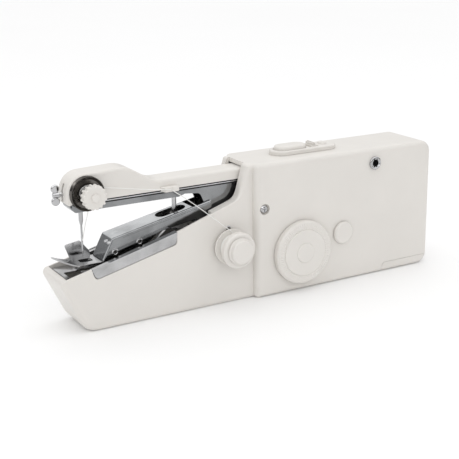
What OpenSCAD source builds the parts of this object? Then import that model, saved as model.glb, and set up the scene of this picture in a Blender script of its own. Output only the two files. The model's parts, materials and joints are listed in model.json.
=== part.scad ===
// Handheld battery sewing machine.
// Frame: +X towards the battery end, +Z up, +Y to the far side.
// The origin is on the flat base, below the step where the rear block begins, on the mid-plane.

/* [Casing] */
// Length of the rear block, which holds the drive and the cells
rear_len = 108.7; // [108:0.1:112]
// Width of the rear block
rear_w = 31.5; // [31.5:0.1:33]
// Height of the machine
height = 68; // [68:0.5:70]
// Width of the front section, which holds the needle gear
front_w = 24.6; // [24:0.1:25]
// Wall thickness of the casing
wall = 1.4; // [1.2:0.1:1.4]
// Half width of the slot that the needle arm swings in
slot_half = 7.25; // [7:0.05:8]

/* [Battery door] */
// Where the battery door begins
door_x = 50.2; // [50:0.1:51]
// Where the battery door's sides begin, behind its tongue
door_side_x = 77.5; // [70:0.1:80]
// Height of the battery door's sides
door_h = 5; // [4:0.1:6]

/* [Needle arm] */
// Distance from the needle to the arm's pivot
needle_reach = 97.6; // [97:0.1:98]
// Swing of the needle arm, in degrees
arm_swing = 8.5; // [8:0.1:8.5]
// Half width of the white cover on the arm
cover_half = 6.2; // [6:0.1:6.4]
// Half width of the steel channel under the cover
channel_half = 5; // [4.8:0.1:5]
// Diameter of the needle
needle_d = 0.9; // [0.7:0.1:1.1]

/* [Presser foot] */
// Half width of the presser lever
lever_half = 6.2; // [6:0.1:6.4]
// Height of the underside of the foot
sole_z = 29.8; // [29.6:0.1:30.2]

/* [Drive] */
// Diameter of the hand wheel
wheel_d = 32.4; // [30:0.1:33]
// Teeth on the main gear
main_teeth = 42; // [42:1:42]
// Teeth on each small pinion
pinion_teeth = 9; // [9:1:9]
// Teeth on the large idler gear
idler_teeth = 40; // [40:1:40]

/* [Thread] */
// Diameter of the bobbin's flanges
bobbin_d = 17.6; // [17:0.1:17.8]
// Diameter of the thread
thread_d = 0.4; // [0.3:0.05:0.5]

/* [Hidden] */
$fn = 48;
e = 0.01;
rear_half = rear_w / 2;
front_half = front_w / 2;
inner_half = rear_half - wall;
front_wall = 1.2;
front_inner = front_half - front_wall;
fit = 0.05;

// Corners of the front section's top edge, from the nose up to the step
nose_tip = [-100.3, 26.1];
slope_bend = [-40, 41];
slope_top = [-8.2, 51.4];

// Pivots, each as [x, z]
arm_pivot = [14, 57];
lever_pivot = [-22, 39];
looper_pivot = [-74, 8];
needle_x = arm_pivot[0] - needle_reach;

// Gear train: each centre follows from the pitch radii
drive_c = [26.1, 20.7];
module_main = 0.8;
module_fast = 0.6;
main_r = module_main * main_teeth / 2;
idler_small_r = module_main * pinion_teeth / 2;
idler_big_r = module_fast * idler_teeth / 2;
motor_pinion_r = module_fast * pinion_teeth / 2;
idler_angle = 70;
motor_angle = 30;
idler_c = drive_c + (main_r + idler_small_r) * [cos(idler_angle), sin(idler_angle)];
motor_c = idler_c + (idler_big_r + motor_pinion_r) * [cos(motor_angle), sin(motor_angle)];
winder_c = [51.5, 26.3];
shaft_r = 2;

// Layers of the drive, from the near wall inwards
pulley_y = [-13, -10.6];
plate_y = [-10.2, -9.2];
main_y = [-8.6, -4.6];
disc_y = [-4.2, -2.4];
fork_y = [-0.3, 0.9];
drive_pulley_r = 8;
winder_pulley_r = 1.6;
belt_r = 0.5;

// Crank pin at rest, with the needle at the top of its stroke
fork_line = drive_c - arm_pivot;
fork_reach = norm(fork_line);
fork_dir = fork_line / fork_reach;
crank_throw = fork_reach * sin(arm_swing / 2);
crank_pin_c = drive_c + crank_throw * [fork_dir[1], -fork_dir[0]];

// Cells
cell_r = 7.05;
cell_len = 49.9;
cell_x = 56.6;
cell_y = 7.15;
cell_z = [9.1, 23.4];
divider_x = 54.6;
ceiling_z = 31.2;

// Tension unit, bobbin and switch
tension_c = [-83, 64.2];
push_x = -36.4;
eyelet_c = [-13.8, 38];
clamp_z = 63.4;
spool_c = [-13.4, 29.3];
switch_x = [18, 56];
switch_half = 6;
button_x = [20.5, 38];
button_half = 4.6;
lock_x = [40.4, 43.4];
jack_c = [71.2, 60.3];
near_screw_c = [4.9, 45.4];
plate_posts = [[14, 8], [14, 34], [47.5, 10.5], [47.5, 40]];
far_screws = [[-60, 7], [101, 60], [60, 62], [4.9, 6]];
hub_r = 3.4;
wind_r = 6.4;

// Gear phases that put a tooth of one gear in a gap of the other
function meshed(angle, n_from, n_to) =
    let (part = angle * n_from / 360)
    180 + angle + (part - floor(part) - 0.5) * 360 / n_to;

plastic = "#edebe6";
steel = "#b9bcc0";
dark_steel = "#7b7e82";
brass = "#c9a24a";
black = "#222222";
nylon = "#f1efe8";
cell_blue = "#3f6f9f";
partition_grey = "#dcdad4";
thread_white = "#f4f3ef";

// ---- Outline helpers ----

function unit(v) = v / norm(v);

// Points of the arc of radius r that rounds the corner b between a and c
function corner_arc(a, b, c, r, n = 7) =
    r == 0 ? [b] :
    let (
        u = unit(a - b),
        v = unit(c - b),
        half = acos(u * v) / 2,
        centre = b + unit(u + v) * r / sin(half),
        first = b + u * r / tan(half) - centre,
        last = b + v * r / tan(half) - centre,
        a0 = atan2(first[1], first[0]),
        turn = atan2(last[1], last[0]) - a0,
        sweep = turn > 180 ? turn - 360 : turn < -180 ? turn + 360 : turn
    )
    [for (i = [0:n]) centre + r * [cos(a0 + sweep * i / n), sin(a0 + sweep * i / n)]];

function flat(p) = [p[0], p[1]];

// Turns a list of [x, z, corner radius] into a rounded outline
function rounded(pts) =
    let (n = len(pts))
    [for (i = [0:n - 1])
        for (q = corner_arc(flat(pts[(i + n - 1) % n]), flat(pts[i]), flat(pts[(i + 1) % n]), pts[i][2]))
            q];

// Rectangle from [x0, z0] to [x1, z1] as an outline with corner radius r
function box_outline(x0, x1, z0, z1, r) = [[x0, z0, r], [x1, z0, r], [x1, z1, r], [x0, z1, r]];

// Solid between y0 and y1 with an outline drawn in X and Z
module slab(pts, y0, y1)
    translate([0, y1, 0]) rotate([90, 0, 0]) linear_extrude(y1 - y0) polygon(rounded(pts));

// Two equal slabs, one on each side of the mid-plane
module slab_pair(pts, y_in, y_out) {
    slab(pts, y_in, y_out);
    slab(pts, -y_out, -y_in);
}

// Solid between x0 and x1 with an outline drawn in Y and Z
module beam(pts, x0, x1)
    translate([x0, 0, 0]) rotate([90, 0, 90]) linear_extrude(x1 - x0) polygon(rounded(pts));

// Solid between z0 and z1 with an outline drawn in X and Y
module plate(pts, z0, z1)
    translate([0, 0, z0]) linear_extrude(z1 - z0) polygon(rounded(pts));

// Round rod along Y about the point c = [x, z]
module rod(c, y0, y1, r)
    translate([c[0], y1, c[1]]) rotate([90, 0, 0]) cylinder(h = y1 - y0, r = r);

// Ring along Y
module ring(c, y0, y1, r, hole_r)
    difference() {
        rod(c, y0, y1, r);
        rod(c, y0 - 1, y1 + 1, hole_r);
    }

// Solid of revolution about an axis along Y; the profile is [[radius, y], ...]
module turned(c, profile)
    translate([c[0], 0, c[1]]) rotate([-90, 0, 0]) rotate_extrude() polygon(profile);

// Stadium from x0 to x1, as an outline in X and Y
function stadium(x0, x1, half) = box_outline(x0, x1, -half, half, half - e);

// Spur gear outline with n teeth
function gear_pts(n, m, turn = 0) =
    let (r = m * n / 2, tip = r + 0.85 * m, root = r - 1.15 * m, step = 360 / n)
    [for (i = [0:n - 1])
        for (q = [[root, -0.34], [root, -0.27], [tip, -0.11], [tip, 0.11], [root, 0.27], [root, 0.34]])
            q[0] * [cos(turn + step * (i + q[1])), sin(turn + step * (i + q[1]))]];

module gear(c, y0, y1, n, m, turn, bore_r)
    difference() {
        translate([c[0], y1, c[1]]) rotate([90, 0, 0])
            linear_extrude(y1 - y0) polygon(gear_pts(n, m, turn));
        rod(c, y0 - 1, y1 + 1, bore_r);
    }

// Tube of radius r swept along a list of 3-D points
function ring_axes(d) =
    let (side = abs(d[2]) > 0.9 ? [1, 0, 0] : [0, 0, 1], u = unit(cross(d, side)))
    [u, cross(d, u)];

module tube(path, r, sides = 8) {
    n = len(path);
    dirs = [for (i = [0:n - 1]) unit(path[min(i + 1, n - 1)] - path[max(i - 1, 0)])];
    points = [for (i = [0:n - 1])
        let (axes = ring_axes(dirs[i]))
        for (k = [0:sides - 1])
            path[i] + r * (cos(360 * k / sides) * axes[0] + sin(360 * k / sides) * axes[1])];
    walls = [for (i = [0:n - 2]) for (k = [0:sides - 1])
        let (next = (k + 1) % sides)
        each [[i * sides + k, (i + 1) * sides + k, i * sides + next],
              [i * sides + next, (i + 1) * sides + k, (i + 1) * sides + next]]];
    caps = [[for (k = [0:sides - 1]) k], [for (k = [sides - 1:-1:0]) (n - 1) * sides + k]];
    polyhedron(points, concat(walls, caps));
}

// Points of a coil about +Z that starts at height 0; its radius runs from r0 to r1
function coil_pts(r0, r1, h, turns) =
    let (n = round(turns * 10))
    [for (i = [0:n])
        let (t = i / n, r = r0 + (r1 - r0) * t)
        [r * cos(360 * turns * t), r * sin(360 * turns * t), h * t]];

// Coil spring along Y from y0 to y1
module spring_y(c, y0, y1, r0, r1, turns, wire_r)
    translate([c[0], y0 + wire_r, c[1]]) rotate([-90, 0, 0])
        tube(coil_pts(r0, r1, y1 - y0 - 2 * wire_r, turns), wire_r, 6);

// Coil spring along Z from z0 to z1
module spring_z(x, y, z0, z1, r, turns, wire_r)
    translate([x, y, z0 + wire_r])
        tube(coil_pts(r, r, z1 - z0 - 2 * wire_r, turns), wire_r, 6);

// ---- Casing ----

front_outline = [
    [10, 0, 0], [-88, 0, 8], [nose_tip[0], nose_tip[1], 2.5], [slope_bend[0], slope_bend[1], 40],
    [slope_top[0], slope_top[1], 6], [-6.5, 56.3, 12], [-3.2, height, 1.5], [10, height, 0]
];
front_cavity = [
    [12, wall, 0], [-86.5, wall, 6], [-96.4, 27.2, 0], [-96.4, 80, 0], [-22, 80, 0], [-22, 45.2, 0],
    [-7, 49.5, 6], [-4.9, 55.6, 12], [-1.6, 66.2, 1], [12, 66.2, 0]
];
rear_outline = box_outline(0, rear_len, 0, height, 6);
rear_front_outline = box_outline(0, 20, 0, height, 1);
rear_cavity = box_outline(2, rear_len - wall, wall, height - wall, 5);
flange_outline = [[-84.2, 29.6, 0.5], [-82.5, 24.8, 2.2], [-41.8, 34.9, 2.2], [-41, 40.3, 0.5]];
notch_outline = [
    [-84.5, 50, 0], [-84.5, 29.6, 0.5], [-82.8, 24.5, 2.2], [-41.4, 34.6, 2.2], [-40.7, 50, 0]
];
door_outline = [
    [door_side_x, 0, 0], [rear_len, 0, 6], [rear_len, door_h, 0], [door_side_x + 1, door_h, 1.2]
];
door_cut = [
    [door_side_x - 0.15, -5, 0], [rear_len + 5, -5, 0], [rear_len + 5, door_h + 0.15, 0],
    [door_side_x + 0.85, door_h + 0.15, 1.3], [door_side_x - 0.15, 0, 0]
];
door_tongue_half = 13.2;
rear_section = box_outline(-rear_half, rear_half, 0, height, 2.2);

// Outside of the rear block, with rounded long edges
module rear_block()
    intersection() {
        union() {
            slab(rear_front_outline, -rear_half, rear_half);
            difference() {
                slab(rear_outline, -rear_half, rear_half);
                translate([-1, -rear_half - 1, -1]) cube([11, rear_w + 2, height + 2]);
            }
        }
        beam(rear_section, -1, rear_len + 1);
    }

module casing_outside() {
    slab(front_outline, -front_half, front_half);
    rear_block();
}

module casing_spaces() {
    slab(front_cavity, -front_inner, front_inner);
    slab(rear_cavity, -inner_half, inner_half);
    // Slot for the needle arm
    translate([-40, -slot_half, 40]) cube([38.3, 2 * slot_half, 40]);
    slab_pair(notch_outline, front_inner - 1, front_half + 1);
    slab(door_cut, -rear_half - 1, rear_half + 1);
    translate([door_x - 0.15, -door_tongue_half - 0.15, -5])
        cube([door_side_x + 1 - door_x, 2 * door_tongue_half + 0.3, 7]);
    // Room for the power button and its switch
    translate([switch_x[0] + 2, -button_half - 0.3, height - 3])
        cube([button_x[1] - 18, 2 * button_half + 0.6, 6]);
}

// Bosses inside the near half
module near_bosses() {
    rod(near_screw_c, -rear_half + 1, 0, 3);
    rod(idler_c, -rear_half + 1, plate_y[0] - e, 2.6);
    rod(winder_c, -rear_half + 1, -13.4, 2.9);
    rod(drive_c, -rear_half + 1, -13.6, 5);
    for (post = plate_posts)
        rod(post, -rear_half + 1, plate_y[0], 2);
    rod(arm_pivot, -rear_half + 1, -9.5, 3);
    rod(spool_c, -front_half + 0.5, -8, 3.2);
    rod(lever_pivot, -front_half + 0.5, -8.2, 3);
    rod(looper_pivot, -front_half + 0.5, -4, 2.6);
    for (c = far_screws)
        rod(c, c[0] < 0 ? -front_half + 0.5 : -rear_half + 0.5, 0, 2.2);
}

module near_holes() {
    rod(near_screw_c, -rear_half - 1, -rear_half + 1.6, 2.7);
    rod(near_screw_c, -rear_half - 1, 1, 1.3);
    rod(drive_c, -rear_half - 1, -10, 3.2);
    rod(winder_c, -rear_half - 1, -10, 1.25 + fit);
    rod(idler_c, -rear_half + 1.6, -5, 1.25);
    rod(jack_c, -rear_half - 1, -10, 3);
    rod(arm_pivot, -rear_half + 1.6, 0, 1.5);
    rod(spool_c, -front_half - 1, -9, 1.6);
    rod(lever_pivot, -front_half + 0.8, 0, 1.5);
    rod(looper_pivot, -front_half + 0.8, 0, 1.25);
    rod(eyelet_c, -front_half - 1, -9, 1);
    for (c = far_screws)
        rod(c, -7.5, 1, 1.1);
}

module casing_near()
    color(plastic)
    difference() {
        union() {
            intersection() {
                difference() {
                    casing_outside();
                    casing_spaces();
                }
                translate([-150, -50, -50]) cube([400, 50, 200]);
            }
            near_bosses();
        }
        near_holes();
    }

module casing_far()
    color(plastic)
    difference() {
        union() {
            intersection() {
                difference() {
                    casing_outside();
                    casing_spaces();
                }
                translate([-150, 0, -50]) cube([400, 50, 200]);
            }
            rod(arm_pivot, 9.5, rear_half - 1, 3);
            rod(lever_pivot, 8.2, front_half - 0.5, 3);
            rod(looper_pivot, 4, front_half - 0.5, 2.6);
            rod(near_screw_c, 0, rear_half - 0.5, 2.4);
            for (c = far_screws)
                rod(c, 0, c[0] < 0 ? front_half - 0.5 : rear_half - 0.5, 3);
        }
        rod(arm_pivot, 0, rear_half - 1.6, 1.5);
        rod(lever_pivot, 0, front_half - 0.8, 1.5);
        rod(looper_pivot, 0, front_half - 0.8, 1.25);
        rod(near_screw_c, -1, 7.5, 1.1);
        for (c = far_screws) {
            rod(c, -1, 40, 1.3);
            rod(c, c[0] < 0 ? front_half - 1.8 : rear_half - 1.8, 40, 2.7);
        }
    }

// Self-tapping screw along Y; the head is at y and the shank runs towards +Y or -Y
module screw(c, y, way, shank)
    difference() {
        union() {
            rod(c, min(y, y + way * 1.3), max(y, y + way * 1.3), 2.2);
            rod(c, min(y, y + way * shank), max(y, y + way * shank), 1.1);
        }
        for (turn = [0, 90])
            translate([c[0], y, c[1]]) rotate([0, turn, 0]) cube([2.6, 1.2, 0.6], center = true);
    }

module casing_screws()
    color(steel) {
        screw(near_screw_c, -rear_half + 0.3, 1, 20);
        for (c = far_screws)
            screw(c, (c[0] < 0 ? front_half : rear_half) - 0.5, -1, c[0] < 0 ? 17 : 20);
    }

module battery_door()
    color(plastic)
    difference() {
        union() {
            intersection() {
                slab(door_outline, -rear_half, rear_half);
                beam(rear_section, 0, rear_len + 1);
            }
            translate([door_x, -door_tongue_half, 0])
                cube([door_side_x + 5 - door_x, 2 * door_tongue_half, wall]);
        }
        translate([door_x - 1, -inner_half, wall])
            cube([rear_len - door_x + 1 - wall, 2 * inner_half, 10]);
        // Thumb grooves on the underside
        for (i = [0:4])
            translate([door_x + 8 + 3 * i, -7, -0.4]) cube([1.2, 14, 0.8]);
    }

// ---- Switch ----

module switch_base()
    color(plastic)
    difference() {
        plate(stadium(switch_x[0], switch_x[1], switch_half), height + e, height + 2.2);
        plate(stadium(button_x[0] - 0.3, button_x[1] + 0.3, button_half + 0.3), height - 1, height + 3);
        plate(box_outline(lock_x[0] - 1.3, lock_x[1] + 1.3, -3.6, 3.6, 0.3), height + 1, height + 3);
    }

module switch_body()
    color(black)
    difference() {
        translate([button_x[0] + 2, -5, 60.2]) cube([13.5, 10, 4.6]);
        translate([29.25, 0, 63]) cylinder(h = 5, r = 2);
    }

module power_button()
    color(plastic) {
        plate(stadium(button_x[0], button_x[1], button_half), height - 0.4, height + 4.2);
        translate([29.25, 0, 65.6]) cylinder(h = 2.2, r = 1.6);
    }

module lock_slider()
    color(plastic) {
        plate(box_outline(lock_x[0], lock_x[1], -3.4, 3.4, 0.3), height + 1 + e, height + 2.6);
        plate(box_outline(lock_x[0] + 0.8, lock_x[1] - 0.6, -3.2, 3.2, 0.5), height + 2.5, height + 4.4);
    }

module dc_jack()
    color(steel)
    difference() {
        union() {
            rod(jack_c, -rear_half - 1.2, -rear_half - e, 3.4);
            rod(jack_c, -rear_half - 0.1, -6, 3);
            translate([jack_c[0] - 4, -13, jack_c[1] - 4]) cube([8, 6, 8]);
        }
        rod(jack_c, -rear_half - 2, -8, 1.8);
    }

// ---- Drive ----

module handwheel()
    color(plastic)
    difference() {
        turned(drive_c, [
            [shaft_r, -16.1], [wheel_d / 2, -16.1], [wheel_d / 2, -18.6], [wheel_d / 2 - 0.8, -19.5],
            [11.9, -19.5], [11.6, -19.9], [5, -19.9], [4.7, -20.3], [shaft_r, -20.3]
        ]);
        rod(drive_c, -19, -15, 4);
    }

module drive_shaft()
    color(steel)
    rod(drive_c, -20.3, disc_y[0], shaft_r);

module shaft_bushes()
    color(brass) {
        ring(drive_c, -rear_half + 0.05, -13.3, 3.2, shaft_r + fit);
        ring(drive_c, plate_y[0], plate_y[1] + 0.3, 3, shaft_r + fit);
    }

module bearing_plate()
    color(dark_steel)
    difference() {
        slab([[11.5, 5.5, 2], [53, 7.5, 2], [53, 43, 2], [11.5, 37, 2]], plate_y[0], plate_y[1]);
        rod(drive_c, -20, 0, 3);
        rod(idler_c, -20, 0, 1.25);
        rod(winder_c, -20, 0, 1.25 + fit);
    }

module main_gear()
    color(nylon)
    gear(drive_c, main_y[0], main_y[1], main_teeth, module_main, 0, shaft_r);

module crank_disc()
    color(steel)
    difference() {
        union() {
            rod(drive_c, disc_y[0], disc_y[1], 5.5);
            rod(crank_pin_c, disc_y[0], fork_y[0] - 0.3, 1.4);
        }
        rod(drive_c, disc_y[0] - 1, disc_y[0] + 0.4, shaft_r);
    }

module drive_pulley()
    color(black)
    turned(drive_c, [
        [shaft_r, pulley_y[0]], [drive_pulley_r + 0.9, pulley_y[0]], [drive_pulley_r, pulley_y[0] + 0.5],
        [drive_pulley_r, pulley_y[1] - 0.5], [drive_pulley_r + 0.9, pulley_y[1]], [shaft_r, pulley_y[1]]
    ]);

// Belt path: two straight runs and the arcs round both pulleys, at a distance of extra from the groove
function belt_pts(extra) =
    let (
        d = winder_c - drive_c,
        base = atan2(d[1], d[0]),
        lean = acos((drive_pulley_r - winder_pulley_r) / norm(d)),
        big = drive_pulley_r + extra,
        small = winder_pulley_r + extra
    )
    concat(
        [for (i = [0:24])
            let (a = base + lean + (360 - 2 * lean) * i / 24)
            drive_c + big * [cos(a), sin(a)]],
        [for (i = [0:12])
            let (a = base - lean + 2 * lean * i / 12)
            winder_c + small * [cos(a), sin(a)]]
    );

module drive_belt()
    color(black)
    translate([0, (pulley_y[0] + pulley_y[1]) / 2 + belt_r, 0]) rotate([90, 0, 0])
    linear_extrude(2 * belt_r)
    difference() {
        polygon(belt_pts(0.1 + 2 * belt_r));
        polygon(belt_pts(0.1));
    }

module idler_gear()
    color(nylon) {
        gear(idler_c, main_y[0], main_y[1] + 0.5, pinion_teeth, module_main,
            meshed(idler_angle, main_teeth, pinion_teeth), 1.25 + fit);
        gear(idler_c, disc_y[0], disc_y[0] + 2.4, idler_teeth, module_fast, 0, 1.25 + fit);
    }

module idler_axle()
    color(steel)
    rod(idler_c, -rear_half + 1.6, -1, 1.25);

module motor_pinion()
    color(brass)
    gear(motor_c, disc_y[0] - 0.2, disc_y[0] + 2.6, pinion_teeth, module_fast,
        meshed(motor_angle, idler_teeth, pinion_teeth), 0.75);

module motor_shaft()
    color(steel)
    rod(motor_c, -5, 13.2, 0.75);

module motor_can()
    color(steel)
    difference() {
        union() {
            rod(motor_c, 0.6, 11.6, 12);
            rod(motor_c, -0.4, 0.7, 3);
        }
        rod(motor_c, 1.6, 12, 11.2);
        rod(motor_c, -2, 5, 0.75 + fit);
    }

module motor_end_cap()
    color(black)
    difference() {
        union() {
            rod(motor_c, 11.6, 13.8, 12);
            ring(motor_c, 8.6, 11.7, 11.1, 9.6);
        }
        rod(motor_c, 8, 13.4, 0.75 + fit);
    }

module winder_knob()
    color(plastic)
    turned(winder_c, [
        [1.25, -16.05], [5.8, -16.05], [5.8, -17.2], [5.3, -17.7], [0, -17.7], [0, -17.2], [1.25, -17.2]
    ]);

module winder_shaft()
    color(steel)
    rod(winder_c, -17.2, -8.6, 1.25);

module winder_pulley()
    color(black)
    turned(winder_c, [
        [1.25, pulley_y[0]], [winder_pulley_r + 0.6, pulley_y[0]], [winder_pulley_r, pulley_y[0] + 0.4],
        [winder_pulley_r, pulley_y[1] - 0.4], [winder_pulley_r + 0.6, pulley_y[1]], [1.25, pulley_y[1]]
    ]);

// ---- Cells ----

// One cell along X; way is 1 when the raised end points to +X
module cell(y, z, way)
    translate([cell_x + cell_len / 2, y, z]) rotate([0, 90 * way, 0])
        translate([0, 0, -cell_len / 2]) {
            cylinder(h = cell_len - 1, r = cell_r);
            cylinder(h = cell_len, r = 2.75);
        }

module battery_cells()
    color(cell_blue)
    for (side = [-1, 1])
        for (row = [0, 1])
            cell(side * cell_y, cell_z[row], side);

module battery_springs()
    color(steel)
    for (row = [0, 1])
        translate([divider_x + 0.95, cell_y, cell_z[row]]) rotate([0, 90, 0])
            tube(coil_pts(4, 2, 0.5, 2), 0.2, 6);

module battery_contacts()
    color(steel)
    for (side = [-1, 1])
        for (row = [0, 1])
            translate([rear_len - wall - 0.5, side * cell_y - 4, cell_z[row] - 2.5]) cube([0.4, 8, 7]);

module battery_partition()
    color(partition_grey) {
        translate([divider_x, -inner_half, wall + 0.3]) cube([0.7, 2 * inner_half, ceiling_z + 0.7 - wall]);
        translate([divider_x, -inner_half, ceiling_z])
            cube([rear_len - wall - divider_x, 2 * inner_half, 1]);
    }

// ---- Needle arm ----

module arm_pivot_pin()
    color(steel)
    rod(arm_pivot, -rear_half + 1.6, rear_half - 1.6, 1.5);

channel_side = [
    [-89.5, 61.8, 0], [-89.5, 57.5, 0], [-86.5, 55.6, 2], [-36, 55.4, 1], [-33, 56.4, 1], [-25, 55.6, 2.5],
    [-21.4, 47.5, 1], [-18.5, 45.8, 1], [-8, 51, 6], [12, 52.6, 2], [18.5, 54.5, 2], [18.5, 61.8, 1]
];
fork_end = arm_pivot + (fork_reach + 7) * [fork_dir[0], fork_dir[1]];

// Rotates its children about the arm's pivot, from mid stroke to the top of the stroke
module at_top_of_stroke()
    translate([arm_pivot[0], 0, arm_pivot[1]])
        rotate([0, arm_swing / 2, 0]) translate([-arm_pivot[0], 0, -arm_pivot[1]])
        children();

fork_bar = [
    [arm_pivot[0] - 4.5 * fork_dir[1] * -1, arm_pivot[1] - 4.5 * fork_dir[0], 0],
    [arm_pivot[0] - 4.5 * fork_dir[1], arm_pivot[1] + 4.5 * fork_dir[0], 0],
    [fork_end[0] - 3.6 * fork_dir[1], fork_end[1] + 3.6 * fork_dir[0], 3],
    [fork_end[0] + 3.6 * fork_dir[1], fork_end[1] - 3.6 * fork_dir[0], 3]
];

module needle_arm()
    color(steel)
    difference() {
        union() {
            slab_pair(channel_side, channel_half - 0.8, channel_half);
            translate([-77.5, -channel_half, 61]) cube([96, 2 * channel_half, 0.8]);
            rod(arm_pivot, -channel_half, channel_half, 3.4);
            at_top_of_stroke() slab(fork_bar, fork_y[0], fork_y[1]);
        }
        rod(arm_pivot, -20, 20, 1.5 + fit);
        at_top_of_stroke() {
            rod(drive_c + fork_dir * 4, -1, 2, 1.7);
            rod(drive_c - fork_dir * 4, -1, 2, 1.7);
            slab([for (s = [[-1, -4], [-1, 4], [1, 4], [1, -4]])
                [drive_c[0] + s[1] * fork_dir[0] - 1.7 * s[0] * fork_dir[1],
                 drive_c[1] + s[1] * fork_dir[1] + 1.7 * s[0] * fork_dir[0], 0]], -1, 2);
        }
        // Hole for the push pin
        translate([push_x, 0, 60]) cylinder(h = 4, r = 1.2);
    }

cover_top = [
    [-91.8, 58.6, 1], [-91.8, 72.6, 9], [-63, 73.6, 14], [-49, 65.2, 10], [6, 65.2, 0.5], [6, 60.1, 0],
    [-88, 60.1, 0]
];
cover_inside = [
    [-90.4, 57, 0], [-90.4, 71, 8], [-63.6, 72.2, 13], [-49.6, 63.9, 10], [7, 63.9, 0], [7, 57, 0]
];

module arm_cover()
    color(plastic)
    difference() {
        slab(cover_top, -cover_half, cover_half);
        slab(cover_inside, -cover_half + 1.15, cover_half - 1.15);
        // Slot for the clamp screw
        translate([-93, -0.9, 57]) cube([4, 1.8, 11.4]);
        rod(tension_c, -10, 0, 1.5);
    }

module needle_clamp()
    color(steel)
    difference() {
        slab([
            [-90.1, 67.5, 5], [-90.1, 57.4, 2], [-87.6, 54.9, 2], [-78, 55.3, 1], [-78, 67.5, 1]
        ], -4.1, 4.1);
        translate([needle_x, 0, 50]) cylinder(h = 20, r = 1);
        translate([-92, 0, clamp_z]) rotate([0, 90, 0]) cylinder(h = 9, r = 0.8);
    }

module needle()
    color(steel)
    difference() {
        translate([needle_x, 0, 0]) {
            translate([0, 0, 50]) cylinder(h = 20, r = 1);
            translate([0, 0, 48]) cylinder(h = 2, r1 = needle_d / 2, r2 = 1);
            translate([0, 0, 35.5]) cylinder(h = 12.5, r = needle_d / 2);
            translate([0, 0, 32]) cylinder(h = 3.5, r1 = 0.08, r2 = needle_d / 2);
        }
        rod([needle_x, 40.5], -1, 1, 0.22);
    }

module wing(side)
    translate([-95, 0, clamp_z + side * 3]) rotate([90, 0, 0]) cylinder(h = 1.4, r = 1.9, center = true);

module clamp_screw()
    color(steel) {
        translate([-95, 0, clamp_z]) rotate([0, 90, 0]) cylinder(h = 10.3, r = 0.8);
        translate([-96.4, 0, clamp_z]) rotate([0, 90, 0]) cylinder(h = 3.2, r = 1.7);
        for (side = [-1, 1])
            wing(side);
    }

// ---- Thread tension ----

module tension_stud()
    color(steel) {
        rod(tension_c, -18.4, -4.11, 1);
        rod(tension_c, -4.9, -4.11, 2);
    }

module inner_disc()
    color(steel)
    turned(tension_c, [[1.15, -6.9], [6.6, -6.9], [8, -6.3], [8, -6.7], [6.7, -7.3], [1.15, -7.3]]);

module outer_disc()
    color(steel)
    turned(tension_c, [[1.15, -8.2], [6.7, -8.2], [8, -8.8], [8, -8.4], [6.6, -7.8], [1.15, -7.8]]);

module tension_spring()
    color(dark_steel)
    spring_y(tension_c, -13, -8.3, 2.2, 4, 4, 0.3);

module tension_dial()
    color(plastic)
    difference() {
        union() {
            translate([tension_c[0], -13.3, tension_c[1]]) rotate([90, 0, 0])
                linear_extrude(3.6) polygon([for (i = [0:31])
                    (i % 2 == 0 ? 5.7 : 5.1) * [cos(i * 11.25 + 5), sin(i * 11.25 + 5)]]);
            rod(tension_c, -18.2, -16.8, 1.9);
        }
        rod(tension_c, -19, -13, 1 + fit);
    }

module thread_guide()
    color(plastic)
    difference() {
        slab([[-45.8, 59.6, 0.6], [-45.8, 61.9, 0.6], [-38, 61.9, 0.6], [-38, 59.6, 0.6]], -9.6, -cover_half);
        rod([-41.9, 60.4], -10, -5, 0.5);
    }

// ---- Push pin, presser foot, looper ----

module push_pin()
    color(steel)
    translate([push_x, 0, 0]) {
        translate([0, 0, 39.6]) cylinder(h = 22.6, r = 1.1);
        translate([0, 0, 60]) cylinder(h = 1, r = 2.2);
    }

module push_pin_spring()
    color(dark_steel)
    spring_z(push_x, 0, 40.2, 47, 2, 4, 0.3);

module needle_plate()
    color(steel)
    difference() {
        union() {
            slab_pair(flange_outline, front_half - 0.95, front_half - 0.15);
            for (side = [-1, 1])
                slab([[-84.2, 29.2, 0], [-84.2, 28.4, 0], [-41, 39.8, 0], [-41, 40.6, 0]],
                    side > 0 ? 9 : -front_half + 0.15, side > 0 ? front_half - 0.15 : -9);
            slab_pair([[-84.2, 29.2, 0], [-84.2, 25.7, 0], [-70, 25.7, 0], [-66, 30, 1], [-41, 36.6, 1],
                [-41, 40.6, 0]], 9, 9.8);
            plate(box_outline(-95.3, -70, -9.8, 9.8, 1), 25.7, 26.5);
        }
        plate(box_outline(-87, -76, -1.7, 1.7, 1.6), 20, 27);
        plate(box_outline(-93.3, -86, -8.4, 0.5, 1), 20, 27);
    }

lever_side = [
    [-76.4, 31.2, 0], [-75.6, 29.8, 0.5], [-65.5, 31.2, 2], [-57.5, 33.2, 2], [-47.5, 40.2, 2],
    [-27, 43.6, 1], [-25.2, 39, 2.9], [-18.8, 39, 2.9], [-19.6, 51.6, 0.5], [-71.2, 40.9, 1]
];

module presser_lever()
    color(steel)
    difference() {
        union() {
            slab_pair(lever_side, lever_half - 0.8, lever_half);
            slab([[-19.6, 50.8, 0], [-19.6, 51.6, 0], [-71.2, 40.9, 0.5], [-76.7, 30.8, 0], [-75.8, 30.8, 0],
                [-70.6, 40.1, 0]], -lever_half, lever_half);
        }
        // Oval window for the push pin
        plate(box_outline(-46.2, -31, -3.8, 3.8, 3.7), 42, 56);
        rod(lever_pivot, -10, 10, 1.5 + fit);
        rod([-57.8, 37.2], -10, 10, 1);
        rod([-70.2, 34.2], -10, 10, 1);
        // The lever's top is open behind the window, where the arm's plates reach down
        translate([-29.5, -channel_half - 0.35, 40]) cube([15, 2 * channel_half + 0.7, 20]);
    }

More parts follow.
